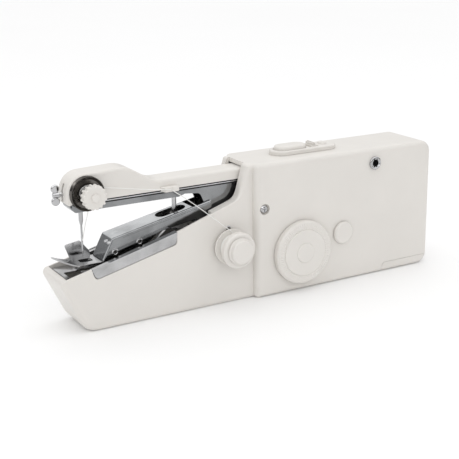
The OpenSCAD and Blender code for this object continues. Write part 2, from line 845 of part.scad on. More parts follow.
module presser_foot()
    color(steel)
    difference() {
        union() {
            plate(box_outline(-88.2, -75.9, -lever_half, lever_half, 0.6), sole_z, sole_z + 0.99);
            // Upturned far toe
            slab([[-88, 30, 0], [-78.5, 30, 0], [-82.6, 38.6, 0.8], [-90, 36.8, 0.8]],
                lever_half - 0.2, lever_half + 0.6);
            // Pointed front toe
            translate([-88.2, 0, sole_z]) rotate([0, 20, 0])
                linear_extrude(0.9)
                    polygon([[0.6, -lever_half], [0.6, lever_half - 0.4], [-10, 2.6], [-10.6, 1]]);
        }
        plate(box_outline(-85.4, -79.2, -1.6, 1.6, 1.55), 20, 40);
    }

module lever_pivot_pin()
    color(steel)
    rod(lever_pivot, -front_half + 0.8, front_half - 0.8, 1.5);

looper_side = [
    [-76.5, 7.5, 2.4], [-71.5, 5.5, 2.4], [-36, 34.8, 2], [-28, 35.6, 1], [-28, 39.2, 0.5], [-39, 39.2, 1],
    [-72, 14, 3], [-78.5, 16, 1], [-81, 15, 1], [-79, 12, 2]
];

module looper_lever()
    color(dark_steel)
    difference() {
        union() {
            slab(looper_side, 1.4, 3);
            rod(looper_pivot, 0.2, 3.6, 2.6);
            translate([-38, -2.6, 38.2]) cube([10, 5.6, 1]);
            // Hook that takes the loop of thread from the needle
            slab([
                [-81.2, 15, 0.4], [-79, 15, 0.4], [-79.4, 22.4, 0.8], [-83.6, 23.2, 0.2], [-81.2, 21, 0.6]
            ], 1.4, 2.3);
        }
        rod(looper_pivot, -5, 8, 1.25 + fit);
    }

module looper_pivot_pin()
    color(steel)
    rod(looper_pivot, -front_half + 0.8, front_half - 0.8, 1.25);

module looper_spring()
    color(dark_steel)
    spring_z(-48, 2.2, wall, 22.6, 2.6, 6, 0.35);

// ---- Bobbin and thread ----

module spool_pin()
    color(steel)
    rod(spool_c, -24.8, -9, 1.6);

module spool_spring()
    color(steel)
    spring_y(spool_c, -13.5, -front_half - 0.05, 3, 4.4, 2, 0.3);

module bobbin()
    color(plastic)
    turned(spool_c, [
        [1.8, -13.6], [bobbin_d / 2, -13.6], [bobbin_d / 2, -14.6], [hub_r, -14.8], [hub_r, -19.8],
        [bobbin_d / 2, -19.8], [bobbin_d / 2, -22.2], [bobbin_d / 2 - 1.2, -22.8], [1.8, -22.8]
    ]);

module bobbin_thread()
    color(thread_white)
    turned(spool_c, [[hub_r, -14.85], [wind_r, -14.85], [wind_r, -19.75], [hub_r, -19.75]]);

module spool_cap()
    color(plastic)
    turned(spool_c, [
        [0, -25.9], [5.4, -25.9], [5.8, -25.5], [5.9, -24.2], [6.6, -23.9], [6.6, -23.1], [1.65, -23.1],
        [1.65, -25], [0, -25]
    ]);

module thread_eyelet()
    color(steel)
    difference() {
        union() {
            rod(eyelet_c, -front_half - 0.4, -front_half - e, 1.4);
            rod(eyelet_c, -front_half - 0.1, -10, 1);
        }
        rod(eyelet_c, -front_half - 1, -9, 0.55);
    }

// Thread from the winding past the eyelet to the guide on the arm
thread_route = [
    [-13.4, -17.2, 35.9], [-14.4, -17, 37.4], [-16, -16.6, 39], [-19, -16, 41.4], [-22, -15, 44.1],
    [-26, -13.7, 47.6], [-30, -12.4, 51.1], [-34, -11.2, 54.4], [-38, -10.2, 57.5], [-40.5, -9.9, 59.3],
    [-41.9, -9.95, 60.6]
];

module thread_run()
    color(thread_white)
    tube(thread_route, thread_d / 2);

// Thread from the guide to the tension discs and down to the needle's eye
needle_route = [
    [-42.5, -9.95, 60.8], [-46.5, -9.9, 61.3], [-52, -9.3, 62], [-60, -8.4, 63.2], [-68, -7.8, 64.6],
    [-76, -7.55, 66], [-79.5, -7.55, 66.2], [-82, -7.55, 62.9], [-82.6, -7.55, 60.8], [-82.8, -7.5, 57.5],
    [-82.9, -7.1, 55.4], [-83.1, -4.9, 51], [-83.4, -2.3, 45], [-83.55, -0.95, 41.6], [-83.6, -0.65, 40.6]
];

module needle_thread()
    color(thread_white)
    tube(needle_route, thread_d / 2);

casing_near();
casing_far();
casing_screws();
battery_door();
switch_base();
switch_body();
power_button();
lock_slider();
dc_jack();
handwheel();
drive_shaft();
shaft_bushes();
bearing_plate();
main_gear();
crank_disc();
drive_pulley();
drive_belt();
idler_gear();
idler_axle();
motor_pinion();
motor_shaft();
motor_can();
motor_end_cap();
winder_knob();
winder_shaft();
winder_pulley();
battery_cells();
battery_springs();
battery_contacts();
battery_partition();
arm_pivot_pin();
needle_arm();
arm_cover();
needle_clamp();
needle();
clamp_screw();
tension_stud();
inner_disc();
outer_disc();
tension_spring();
tension_dial();
thread_guide();
push_pin();
push_pin_spring();
needle_plate();
presser_lever();
presser_foot();
lever_pivot_pin();
looper_lever();
looper_pivot_pin();
looper_spring();
spool_pin();
spool_spring();
bobbin();
bobbin_thread();
spool_cap();
thread_eyelet();
thread_run();
needle_thread();
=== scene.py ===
import json
import math

import bmesh
import bpy
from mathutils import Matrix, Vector


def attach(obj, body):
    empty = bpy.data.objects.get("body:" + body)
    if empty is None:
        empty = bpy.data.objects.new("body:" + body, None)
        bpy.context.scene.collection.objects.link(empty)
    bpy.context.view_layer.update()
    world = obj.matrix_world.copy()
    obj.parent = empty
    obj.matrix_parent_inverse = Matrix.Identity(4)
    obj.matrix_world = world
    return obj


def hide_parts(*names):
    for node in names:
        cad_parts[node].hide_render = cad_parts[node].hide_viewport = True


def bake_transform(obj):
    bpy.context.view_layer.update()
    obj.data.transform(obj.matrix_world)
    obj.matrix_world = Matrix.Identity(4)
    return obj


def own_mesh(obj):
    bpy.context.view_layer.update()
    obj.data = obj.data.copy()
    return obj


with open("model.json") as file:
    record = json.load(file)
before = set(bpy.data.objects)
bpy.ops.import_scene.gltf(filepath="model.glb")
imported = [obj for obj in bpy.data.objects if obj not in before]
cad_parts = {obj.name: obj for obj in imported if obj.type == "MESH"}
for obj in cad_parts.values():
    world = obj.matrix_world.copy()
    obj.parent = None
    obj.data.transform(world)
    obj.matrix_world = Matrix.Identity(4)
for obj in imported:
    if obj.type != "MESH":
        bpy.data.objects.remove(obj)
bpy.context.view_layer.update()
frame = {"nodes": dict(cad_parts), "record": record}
MM = 0.001
scene = bpy.context.scene

# ---- Camera ----
# Azimuth, elevation and distance in metres of the view, and the point it turns about
AZ, EL, DIST = math.radians(-32.34), math.radians(16.38), 0.5367
TARGET = Vector((0.0207, 0, 0.0342))
back = Vector((math.sin(AZ) * math.cos(EL), -math.cos(AZ) * math.cos(EL), math.sin(EL)))
cam = bpy.data.objects.new("camera", bpy.data.cameras.new("camera"))
scene.collection.objects.link(cam)
cam.location = TARGET + back * DIST
cam.rotation_mode = "QUATERNION"
cam.rotation_quaternion = (-back).to_track_quat("-Z", "Y")
cam.data.lens = 82.8
cam.data.sensor_width = 36
cam.data.shift_x = -0.0997
cam.data.shift_y = -0.0227
cam.data.clip_start = 0.01
scene.camera = cam


# ---- Materials ----
# The colour sockets of a Mix node, which share their names with its other sockets
MIX_FACTOR, MIX_A, MIX_B, MIX_RESULT = 0, 6, 7, 2


class Shader:
    """A Principled material with short calls for the nodes that feed it."""

    def __init__(self, name, color, metallic, rough):
        self.m = bpy.data.materials.new(name)
        self.m.use_nodes = True
        self.t = self.m.node_tree
        self.b = self.t.nodes["Principled BSDF"]
        self.b.inputs["Base Color"].default_value = (*color, 1)
        self.b.inputs["Metallic"].default_value = metallic
        self.b.inputs["Roughness"].default_value = rough
        self.coord = self.t.nodes.new("ShaderNodeTexCoord")

    def noise(self, scale, detail=4, stretch=(1, 1, 1), rough=0.55):
        mapping = self.t.nodes.new("ShaderNodeMapping")
        mapping.inputs["Scale"].default_value = stretch
        self.t.links.new(self.coord.outputs["Object"], mapping.inputs["Vector"])
        n = self.t.nodes.new("ShaderNodeTexNoise")
        n.inputs["Scale"].default_value = scale
        n.inputs["Detail"].default_value = detail
        n.inputs["Roughness"].default_value = rough
        self.t.links.new(mapping.outputs["Vector"], n.inputs["Vector"])
        return n.outputs["Fac"]

    def ramp(self, value, *stops):
        r = self.t.nodes.new("ShaderNodeValToRGB")
        r.color_ramp.elements[0].position, r.color_ramp.elements[1].position = stops[0][0], stops[-1][0]
        r.color_ramp.elements[0].color = (*stops[0][1], 1)
        r.color_ramp.elements[1].color = (*stops[-1][1], 1)
        for place, color in stops[1:-1]:
            r.color_ramp.elements.new(place).color = (*color, 1)
        self.t.links.new(value, r.inputs["Fac"])
        return r.outputs["Color"]

    def span(self, value, low, high):
        r = self.t.nodes.new("ShaderNodeMapRange")
        r.inputs["From Min"].default_value, r.inputs["From Max"].default_value = 0.3, 0.7
        r.inputs["To Min"].default_value, r.inputs["To Max"].default_value = low, high
        self.t.links.new(value, r.inputs["Value"])
        return r.outputs["Result"]

    def color(self, value, *stops):
        self.t.links.new(self.ramp(value, *stops), self.b.inputs["Base Color"])
        return self

    def rough(self, value, low, high):
        self.t.links.new(self.span(value, low, high), self.b.inputs["Roughness"])
        return self

    def bump(self, value, strength, distance):
        n = self.t.nodes.new("ShaderNodeBump")
        n.inputs["Strength"].default_value = strength
        n.inputs["Distance"].default_value = distance
        self.t.links.new(value, n.inputs["Height"])
        self.t.links.new(n.outputs["Normal"], self.b.inputs["Normal"])
        return self

    def set(self, **values):
        for name, value in values.items():
            self.b.inputs[name.replace("_", " ")].default_value = value
        return self


def tint(color, k):
    return tuple(min(1, c * k) for c in color)


def plastic(name, color, rough, grain=2600, depth=0.05):
    s = Shader(name, color, 0, rough)
    s.color(s.noise(45, 5), (0.3, tint(color, 0.975)), (0.7, tint(color, 1.012)))
    s.rough(s.noise(160, 4), rough - 0.05, rough + 0.06)
    return s.bump(s.noise(grain, 2), depth, 0.00004)


def metal(name, color, rough, stretch=(1, 1, 1), lines=900, depth=0.04, patches=0.86, sides=1.0):
    """Steel or brass; sides paints shade into the base colour of the faces that don't look up, standing in
    for the darker surroundings they would reflect.
    """
    s = Shader(name, color, 1, rough)
    patch = s.ramp(s.noise(70, 4), (0.32, tint(color, patches)), (0.62, tint(color, 1.1)))
    split = s.t.nodes.new("ShaderNodeSeparateXYZ")
    s.t.links.new(s.coord.outputs["Normal"], split.inputs["Vector"])
    # Painted shade: the colour darkens towards sides as a face turns away from straight up
    shade = s.ramp(split.outputs["Z"], (0.05, (sides,) * 3), (0.75, (1, 1, 1)))
    mix = s.t.nodes.new("ShaderNodeMix")
    mix.data_type, mix.blend_type = "RGBA", "MULTIPLY"
    mix.inputs[MIX_FACTOR].default_value = 1
    s.t.links.new(patch, mix.inputs[MIX_A])
    s.t.links.new(shade, mix.inputs[MIX_B])
    s.t.links.new(mix.outputs[MIX_RESULT], s.b.inputs["Base Color"])
    s.rough(s.noise(lines, 3, stretch), rough * 0.7, rough * 1.5)
    return s.bump(s.noise(lines * 1.7, 2, stretch), depth, 0.00003)


WHITE = (0.755, 0.728, 0.69)
shaders = {
    "white_plastic": plastic("white_plastic", WHITE, 0.36),
    # Painted shade: sides below 1 darkens the colour of the faces that don't look up
    "bright_steel": metal("bright_steel", (0.66, 0.66, 0.67), 0.09, sides=0.7),
    "pressed_steel": metal("pressed_steel", (0.47, 0.47, 0.475), 0.17, (0.12, 1, 1), patches=0.7),
    # A copy of pressed_steel with painted shade on the faces that don't look up
    "side_shaded_steel": metal("side_shaded_steel", (0.47, 0.48, 0.49), 0.14, (0.12, 1, 1), patches=0.75, sides=0.55),
    "dark_steel": metal("dark_steel", (0.16, 0.15, 0.14), 0.13, patches=0.4),
    "spring_steel": metal("spring_steel", (0.42, 0.41, 0.40), 0.26),
    "brass": metal("brass", (0.78, 0.57, 0.25), 0.22),
    "gear_plastic": plastic("gear_plastic", (0.82, 0.80, 0.74), 0.42),
    "black_plastic": plastic("black_plastic", (0.022, 0.022, 0.024), 0.4),
    "black_rubber": plastic("black_rubber", (0.018, 0.018, 0.018), 0.7, 1500, 0.2),
    "cell_wrap": plastic("cell_wrap", (0.05, 0.13, 0.26), 0.22),
    "white_thread": plastic("white_thread", (0.86, 0.855, 0.83), 0.75, 5200, 0.5),
}
shaders["white_plastic"].set(Specular_IOR_Level=0.45)
shaders["black_rubber"].set(Specular_IOR_Level=0.3)
shaders["white_thread"].set(Sheen_Weight=0.4)
MATS = {name: s.m for name, s in shaders.items()}
for row in frame["record"]["subparts"]:
    data = frame["nodes"][row["node"]].data
    data.materials.clear()
    data.materials.append(MATS[row["material_slot"]])


# ---- Outlines and solids; each solid is (points in mm, faces) ----
def corner(a, b, c, r, count):
    """The points that round the corner b, between a and c, with radius r."""
    u, v = (a - b).normalized(), (c - b).normalized()
    half = math.acos(max(-1, min(1, u.dot(v)))) / 2
    if count == 0:
        return [b]
    if r < 1e-5:
        return [b] * (count + 1)
    centre = b + (u + v).normalized() * (r / math.sin(half))
    first, last = b + u * (r / math.tan(half)) - centre, b + v * (r / math.tan(half)) - centre
    start = math.atan2(first.y, first.x)
    turn = (math.atan2(last.y, last.x) - start + math.pi) % (2 * math.pi) - math.pi
    steps = [start + turn * i / count for i in range(count + 1)]
    return [centre + Vector((math.cos(t), math.sin(t))) * r for t in steps]


AXES = {
    "xz": lambda a, b, w: (a, w, b),
    "xy": lambda a, b, w: (a, b, w),
    "yz": lambda a, b, w: (w, a, b),
}


def loft(corners, w0, w1, axes="xz", ends=(1, 1), inset=0.0, fine=7, rings=6):
    """A slab from w0 to w1 whose outline is [(a, b, corner radius, fillet of the edge that follows), ...].

    ends scales the fillets at w0 and at w1, and inset draws the whole outline in."""
    n = len(corners)
    pts = [Vector(c[:2]) for c in corners]
    area = sum(pts[i - 1].x * pts[i].y - pts[i].x * pts[i - 1].y for i in range(n))
    side = 1 if area > 0 else -1
    counts, edges = [], []
    for i in range(n):
        u, v = (pts[i] - pts[i - 1]).normalized(), (pts[(i + 1) % n] - pts[i]).normalized()
        turn = abs(math.degrees(u.angle(v)))
        counts.append(0 if corners[i][2] < 1e-5 else max(2, round(turn / fine)))
        edges.append(v)

    def ring(k, scale, face, way):
        shift = [inset + c[3] * scale * (1 - math.cos(k)) for c in corners]
        depth = [c[3] * scale * (1 - math.sin(k)) for c in corners]
        new = []
        for i in range(n):
            # Where two moved edges meet; nearly straight corners take the mean, as their lines hardly cross
            u, v = edges[i - 1], edges[i]
            nu, nv = Vector((-u.y, u.x)) * side, Vector((-v.y, v.x)) * side
            p, q = pts[i] + nu * shift[i - 1], pts[i] + nv * shift[i]
            cross = u.x * v.y - u.y * v.x
            blunt = abs(cross) < 0.15
            new.append((p + q) / 2 if blunt else p + u * (((q - p).x * v.y - (q - p).y * v.x) / cross))
        out = []
        for i in range(n):
            u, v = edges[i - 1], edges[i]
            convex = (u.x * v.y - u.y * v.x) * side > 0
            mean = (shift[i - 1] + shift[i]) / 2
            r = max(0, corners[i][2] - mean) if convex else corners[i][2] + mean
            arc = corner(new[i - 1], new[i], new[(i + 1) % n], r, counts[i])
            for j, p in enumerate(arc):
                t = j / counts[i] if counts[i] else 0.5
                out.append((p.x, p.y, face + way * (depth[i - 1] * (1 - t) + depth[i] * t)))
        return out

    loops = []
    for scale, face, way in ((ends[0], w0, 1), (ends[1], w1, -1)):
        steps = [math.pi / 2 * i / rings for i in range(rings + 1)] if scale else [0]
        loops.append([ring(k, scale, face, way) for k in steps])
    stack = loops[0][::-1] + loops[1]
    m = len(stack[0])
    points = [AXES[axes](*p) for r in stack for p in r]
    faces = [(k * m + i, k * m + (i + 1) % m, (k + 1) * m + (i + 1) % m, (k + 1) * m + i)
             for k in range(len(stack) - 1) for i in range(m)]
    return points, faces + [tuple(range(m)), tuple(range((len(stack) - 1) * m, len(stack) * m))]


def box(x0, x1, y0, y1, z0, z1, r=0.0, f=0.0, axes="xy"):
    """A block; r rounds the four edges along the slab's axis and f fillets its two faces."""
    a0, a1, b0, b1, w0, w1 = {"xy": (x0, x1, y0, y1, z0, z1), "xz": (x0, x1, z0, z1, y0, y1),
                              "yz": (y0, y1, z0, z1, x0, x1)}[axes]
    outline = [(a0, b0, r, f), (a1, b0, r, f), (a1, b1, r, f), (a0, b1, r, f)]
    return loft(outline, w0, w1, axes, (1, 1) if f else (0, 0), rings=4)


TURN = {
    "y": lambda c, r, t, k: (c[0] + r * math.cos(k), t, c[1] + r * math.sin(k)),
    "z": lambda c, r, t, k: (c[0] + r * math.cos(k), c[1] + r * math.sin(k), t),
    "x": lambda c, r, t, k: (t, c[0] + r * math.cos(k), c[1] + r * math.sin(k)),
}


def lathe(c, profile, axis="y", segs=72, shape=None, fine=15):
    """A solid turned about an axis through c; the profile is a closed loop of (radius, place, fillet)."""
    n = len(profile)
    line = []
    for i, (r, t, f) in enumerate(profile):
        a, b, d = (Vector(profile[j % n][:2]) for j in (i - 1, i, i + 1))
        turn = math.degrees((b - a).angle(d - b)) if f else 0
        line += corner(a, b, d, f, max(2, round(turn / fine)) if f else 0)
    points, rows = [], []
    for p in line:
        if p.x < 1e-4:
            rows.append([len(points)] * segs)
            points.append(TURN[axis](c, 0, p.y, 0))
            continue
        rows.append(list(range(len(points), len(points) + segs)))
        for k in range(segs):
            angle = 2 * math.pi * k / segs
            r, t = shape(p.x, p.y, k) if shape else (p.x, p.y)
            points.append(TURN[axis](c, r, t, angle))
    faces = []
    for i in range(len(rows)):
        a, b = rows[i], rows[(i + 1) % len(rows)]
        if a[0] == a[1] and b[0] == b[1]:
            continue
        for k in range(segs):
            q = (a[k], a[(k + 1) % segs], b[(k + 1) % segs], b[k])
            faces.append(tuple(dict.fromkeys(q)))
    return points, faces


def spline(points, step):
    """Points about step mm apart along a smooth curve through the given ones."""
    p = [Vector(q) for q in points]
    p = [2 * p[0] - p[1]] + p + [2 * p[-1] - p[-2]]
    out = []
    for i in range(1, len(p) - 2):
        a, b, c, d = p[i - 1:i + 3]
        n = max(1, round((c - b).length / step))
        for k in range(n):
            t = k / n
            out.append(0.5 * (2 * b + (c - a) * t + (2 * a - 5 * b + 4 * c - d) * t * t
                              + (3 * b - 3 * c + d - a) * t ** 3))
    return out + [p[-2]]


def frames(path):
    """A steady pair of side vectors at each point of a path."""
    n = len(path)
    tangents = [(path[min(i + 1, n - 1)] - path[max(i - 1, 0)]).normalized() for i in range(n)]
    side = tangents[0].orthogonal().normalized()
    out = []
    for t in tangents:
        side = (side - t * side.dot(t)).normalized()
        out.append((side, t.cross(side)))
    return out


def sweep(path, r, sides=8):
    """A closed tube along a path; r is one radius or one for each point."""
    radii = r if isinstance(r, list) else [r] * len(path)
    points, angles = [], [2 * math.pi * k / sides for k in range(sides)]
    for p, (u, v), q in zip(path, frames(path), radii):
        points += [tuple(p + q * (u * math.cos(a) + v * math.sin(a))) for a in angles]
    n = len(path)
    faces = [(i * sides + k, i * sides + (k + 1) % sides,
              (i + 1) * sides + (k + 1) % sides, (i + 1) * sides + k)
             for i in range(n - 1) for k in range(sides)]
    return points, faces + [tuple(range(sides)), tuple(range((n - 1) * sides, n * sides))]


def plied(points, r, pitch=0.9, plies=3):
    """Twisted strands of thread along a curve."""
    path = spline(points, pitch / 8)
    sides, out, length = frames(path), [], 0
    angles = []
    for i, p in enumerate(path):
        length += (p - path[i - 1]).length if i else 0
        angles.append(2 * math.pi * length / pitch)
    for s in range(plies):
        turn = 2 * math.pi * s / plies
        strand = [p + 0.46 * r * (u * math.cos(a + turn) + v * math.sin(a + turn))
                  for p, (u, v), a in zip(path, sides, angles)]
        out.append(sweep(strand, 0.56 * r, 6))
    return out


def coil(c, t0, t1, r0, r1, turns, wire, axis="y", flat=0.75):
    """A spring from t0 to t1 whose first and last turns lie flat."""
    steps, path = round(turns * 20), []
    for i in range(steps + 1):
        k = turns * i / steps
        rise = min(max((k - flat) / (turns - 2 * flat), 0), 1)
        seat = min(k, flat) / flat - 1 + min(max(k - turns + flat, 0), flat) / flat + 1
        t = t0 + wire * (1 + 1.9 * seat / 2)
        t += (t1 - t0 - 3.9 * wire) * rise
        path.append(Vector(TURN[axis](c, r0 + (r1 - r0) * k / turns, t, 2 * math.pi * k)))
    return sweep(path, wire, 8)


# ---- Objects ----
def make(name, *solids):
    """One mesh object from solids given in mm."""
    points, faces = [], []
    for p, f in solids:
        faces += [tuple(i + len(points) for i in q) for q in f]
        points += [tuple(MM * x for x in q) for q in p]
    data = bpy.data.meshes.new(name)
    data.from_pydata(points, [], faces)
    obj = bpy.data.objects.new(name, data)
    scene.collection.objects.link(obj)
    weld(obj)
    return obj


def weld(obj, dissolve=False):
    b = bmesh.new()
    b.from_mesh(obj.data)
    bmesh.ops.remove_doubles(b, verts=b.verts, dist=1.5e-6)
    if dissolve:
        bmesh.ops.dissolve_limit(b, angle_limit=math.radians(0.6), verts=b.verts, edges=b.edges)
    bmesh.ops.recalc_face_normals(b, faces=b.faces)
    b.to_mesh(obj.data)
    b.free()


def from_cad(name, node):
    """A copy of a CAD node's mesh, welded, with its flat faces made whole."""
    obj = bpy.data.objects.new(name, frame["nodes"][node].data.copy())
    scene.collection.objects.link(obj)
    obj.data.materials.clear()
    weld(obj, True)
    return obj


def combine(obj, how, *solids):
    """Applies an exact boolean with each solid in turn."""
    for s in solids:
        tool = s if isinstance(s, bpy.types.Object) else make("tool", s)
        m = obj.modifiers.new("boolean", "BOOLEAN")
        m.operation, m.object, m.solver = how, tool, "EXACT"
        bpy.context.view_layer.update()
        graph = bpy.context.evaluated_depsgraph_get()
        data = bpy.data.meshes.new_from_object(obj.evaluated_get(graph))
        obj.modifiers.clear()
        obj.data = data
        if not isinstance(s, bpy.types.Object):
            bpy.data.objects.remove(tool)
    return obj


def cut(obj, *solids):
    return combine(obj, "DIFFERENCE", *solids)


def add(obj, *solids):
    return combine(obj, "UNION", *solids)


def round_edges(obj, radius, chosen):
    """Rounds the sharp edges whose middle, in mm, is chosen."""
    b = bmesh.new()
    b.from_mesh(obj.data)
    edges = [e for e in b.edges if len(e.link_faces) == 2 and e.calc_face_angle(0) > 0.6
             and chosen((e.verts[0].co + e.verts[1].co) / (2 * MM))]
    bmesh.ops.bevel(b, geom=edges, offset=radius * MM, segments=6, profile=0.5, affect="EDGES",
                    clamp_overlap=True)
    b.to_mesh(obj.data)
    b.free()


def piece(obj, slot, body, *nodes, bevel=0.0, angle=30, ride=True, look=None):
    """Gives a finished object its soft edges, shading, material, body and the nodes that it replaces."""
    obj.data.materials.clear()
    obj.data.materials.append(MATS[look or slot])
    obj.data.polygons.foreach_set("use_smooth", [True] * len(obj.data.polygons))
    obj.data.set_sharp_from_angle(angle=math.radians(angle))
    if bevel:
        m = obj.modifiers.new("edge", "BEVEL")
        m.width, m.segments, m.limit_method = bevel * MM, 2, "ANGLE"
        m.angle_limit, m.harden_normals = math.radians(angle + 5), True
    m = obj.modifiers.new("normals", "WEIGHTED_NORMAL")
    m.keep_sharp = True
    if ride:
        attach(obj, body)
    if nodes:
        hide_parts(*nodes)
    return obj


# ---- Casing ----
HEIGHT, REAR, REAR_HALF, FRONT_HALF = 68, 108.7, 15.75, 12.3
# The casing sits this far inside its CAD shape, and its arm slot is SLOT_HALF each side
SKIN, SLOT_HALF = 0.06, 7.25
front_outline = [
    (10, 0, 0, 2), (-88, 0, 8, 2.2), (-100.3, 26.1, 2.5, 0.35), (-40, 41, 40, 0.35), (-8.2, 51.4, 6, 1.5),
    (-6.5, 56.3, 12, 2.4), (-3.2, HEIGHT, 1.5, 2.8), (10, HEIGHT, 0, 0),
]
rear_outline = [(0, 0, 2, 2.2), (REAR, 0, 6, 2.2), (REAR, HEIGHT, 6, 2.2), (0, HEIGHT, 2.4, 3)]
shell = make("shell", loft(front_outline, -FRONT_HALF + SKIN, FRONT_HALF - SKIN, inset=SKIN))
add(shell, loft(rear_outline, -REAR_HALF + SKIN, REAR_HALF - SKIN, inset=SKIN))


def at_slot_mouth(m):
    """True for a point on the front edges of the slot that the needle arm comes out of."""
    return abs(abs(m.y) - SLOT_HALF) < 0.02 and -10.5 < m.x < -2.6 and 50.3 < m.z < 67


for node in ("casing_near", "casing_far"):
    half = from_cad(node + "_shell", node)
    round_edges(half, 2.0, at_slot_mouth)
    combine(half, "INTERSECT", shell)
    piece(half, "white_plastic", "root", node, bevel=0.16)
door = combine(from_cad("battery_door_shell", "battery_door"), "INTERSECT", shell)
piece(door, "white_plastic", "door", "battery_door", bevel=0.14)
bpy.data.objects.remove(shell)


# ---- Screws ----
def screw(c, head, way, length):
    """A cross-head screw along Y with its head's rim at head."""
    s = make("screw", lathe(c, [
        (0, head - way * 0.25, 0), (1.5, head - way * 0.1, 0.5), (2.2, head + way * 0.5, 0.25),
        (2.2, head + way * 1.3, 0), (0, head + way * 1.3, 0)], segs=40))
    for a, b in ((1.25, 0.28), (0.28, 1.25)):
        lo, hi = sorted((head - way, head + way * 0.75))
        cut(s, box(c[0] - a, c[0] + a, lo, hi, c[1] - b, c[1] + b))
    turns = int((length - 1.3) / 0.45)
    ridge = [(1.1 if i % 2 else 0.82, head + way * (1.3 + 0.45 * i), 0) for i in range(turns)]
    shank = lathe(c, [(0, head + way * 1.2, 0), *ridge, (0, ridge[-1][1] + way * 1.2, 0)], segs=24)
    faces = [tuple(p.vertices) for p in s.data.polygons]
    parts = [([tuple(v.co / MM) for v in s.data.vertices], faces), shank]
    bpy.data.objects.remove(s)
    return parts


screws = screw((4.9, 45.4), -REAR_HALF + 0.55, 1, 20)
for c in ((-60, 7), (101, 60), (60, 62), (4.9, 6)):
    front = c[0] < 0
    screws += screw(c, (FRONT_HALF if front else REAR_HALF) - 0.5, -1, 17 if front else 20)
piece(make("screws", *screws), "bright_steel", "root", "casing_screws")

# ---- Switch ----
r = 5.99
base = make("switch_rim", loft([(18, -6, r, 0.8), (56, -6, r, 0.8), (56, 6, r, 0.8), (18, 6, r, 0.8)],
                               68.01, 70.2, "xy", (0, 1)))
h = 4.9
cut(base, loft([
    (20.2, -h, 4.89, 0), (38.3, -h, 4.89, 0), (38.3, h, 4.89, 0), (20.2, h, 4.89, 0)
], 67, 71, "xy", (0, 0)))
cut(base, box(39.1, 44.7, -3.6, 3.6, 69, 71, r=0.3))
add(base, loft([
    (46.8, -2.6, 1.9, 1.1), (50.8, -2.6, 1.9, 1.1), (50.8, 2.6, 1.9, 1.1), (46.8, 2.6, 1.9, 1.1)
], 69.6, 71.4, "xy", (0, 1)))
piece(base, "white_plastic", "root", "switch_base", bevel=0.15)
h = 4.6
button = make("button_cap",
              loft([(20.5, -h, h - 0.01, 1.3), (38, -h, h - 0.01, 1.3), (38, h, h - 0.01, 1.3),
                    (20.5, h, h - 0.01, 1.3)],
                   67.6, 72.15, "xy", (0, 1)),
              lathe((29.25, 0), [(0, 65.6, 0), (1.6, 65.6, 0.3), (1.6, 67.8, 0), (0, 67.8, 0)], "z", 32))
piece(button, "white_plastic", "button", "power_button")
lock = [box(40.4, 43.4, -3.4, 3.4, 69.01, 70.6, 0.3, 0.2)]
lock += [box(x, x + 0.55, -3.1, 3.1, 70.3, 72.3 - abs(x - 41.6) * 0.5, 0.2, 0.2)
         for x in (40.9, 41.6, 42.3)]
piece(make("lock_ribs", *lock), "white_plastic", "lock", "lock_slider")

# ---- Power socket ----
JACK = (71.2, 60.3)
collar = make("jack_collar", lathe(JACK, [
    (1.85, -15.76, 0), (3.4, -15.76, 0), (3.4, -16.75, 0.35), (2.75, -16.95, 0.12), (2.35, -16.6, 0.15),
    (1.85, -16.6, 0.1)], segs=64))
for k in range(4):
    a = math.radians(45 * (k % 2 == 0) + 90 * k + 22)
    x, z = JACK[0] + 2.05 * math.cos(a), JACK[1] + 2.05 * math.sin(a)
    cut(collar, box(x - 0.32, x + 0.32, -18, -16.1, z - 0.32, z + 0.32))
piece(collar, "bright_steel", "root")
barrel = make("jack_body", lathe(JACK, [
    (1.86, -16.3, 0), (2.9, -16.3, 0), (2.95, -6, 0.2), (0, -6, 0), (0, -8.0, 0), (1.86, -8.0, 0)
], segs=48), box(67.2, 75.2, -13, -7, 56.3, 64.3, 0.5, 0.4, "xz"))
piece(barrel, "black_plastic", "root", "dc_jack")
piece(make("jack_pin", lathe(JACK, [
    (0, -13.6, 0), (0.55, -13.4, 0.3), (0.55, -8, 0), (0, -8, 0)
], segs=24)), "bright_steel", "root")

# ---- Hand wheel and winder knob ----
DRIVE, WINDER = (26.1, 20.7), (51.5, 26.3)


def ridges(r, t, k):
    """Fine grooves in the ring on the wheel's face."""
    if 12.4 < r < 15.0 and t < -19.2:
        return r, t - 0.16 * (1 if k % 4 < 2 else 0)
    return r, t


piece(make("wheel_rim", lathe(DRIVE, [
    (2, -16.1, 0), (16.2, -16.1, 0.35), (16.2, -18.7, 0.5), (15.4, -19.45, 0.3), (14.9, -19.5, 0),
    (14.85, -19.5, 0), (12.5, -19.5, 0), (12.45, -19.5, 0), (11.95, -19.35, 0.1), (11.75, -19.9, 0.3),
    (5.3, -19.9, 0.1), (5.1, -19.75, 0.08), (4.8, -20.3, 0.3), (0, -20.3, 0), (0, -19.7, 0), (2, -19.7, 0)
], segs=288, shape=ridges)), "white_plastic", "drive", "handwheel", angle=25)
piece(make("wheel_hub", lathe(DRIVE, [
    (0, -19.6, 0), (1.98, -19.6, 0.1), (1.98, -4.2, 0), (0, -4.2, 0)
], segs=32)), "pressed_steel", "drive", "drive_shaft")
piece(make("winder_grip", lathe(WINDER, [
    (0, -16.05, 0), (5.8, -16.05, 0.2), (5.8, -17.05, 0.35), (5.1, -17.7, 0.5), (0, -17.72, 0)
], segs=72)), "white_plastic", "winder", "winder_knob")

